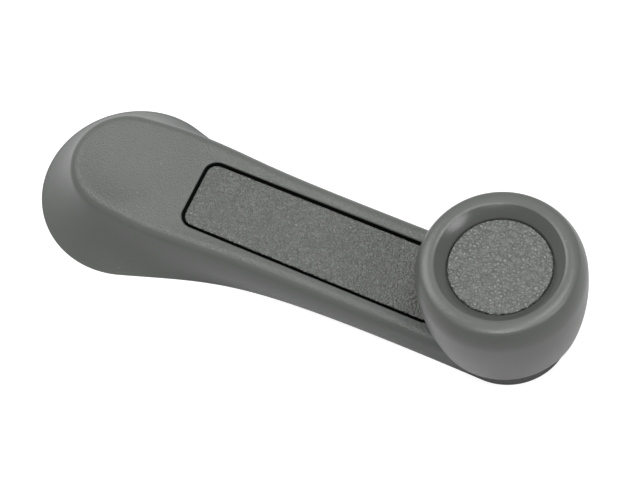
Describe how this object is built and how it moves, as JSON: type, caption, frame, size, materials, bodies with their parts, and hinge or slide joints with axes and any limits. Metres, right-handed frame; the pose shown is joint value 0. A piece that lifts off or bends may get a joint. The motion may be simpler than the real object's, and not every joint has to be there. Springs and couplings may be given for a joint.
{
  "type": "window crank handle",
  "caption": "Moulded window crank handle with a flared hub, a textured trim strip let into the arm and a free-turning round knob.",
  "frame": {"origin": "hub axis at the open end of the splined insert, within a millimetre of the plane the hub's foot rests on", "axes": "+X from the hub to the knob, +Z out of the front face, parallel to the hub and knob axes; symmetric about the XZ plane"},
  "size_m": [0.1429, 0.0454, 0.0358],
  "materials": {
    "moulding": "satin moulded plastic",
    "grained_trim": "leather-grained plastic",
    "steel": "plain machined steel",
    "spring_steel": "blued spring steel",
    "spacer_plastic": "natural nylon"
  },
  "bodies": {
    "handle": {"arm": "moulding", "trim_strip": "grained_trim", "spline_insert": "steel", "retaining_clip": "spring_steel", "knob_axle": "steel", "axle_washer": "steel", "knob_spacer": "spacer_plastic"},
    "knob": {"knob_body": "moulding", "knob_cap": "grained_trim"}
  },
  "joints": [
    {"name": "knob_spin", "type": "hinge", "parent": "handle", "child": "knob", "pos_m": [0.1, 0, 0.02], "axis": [0, 0, 1], "continuous": true}
  ]
}
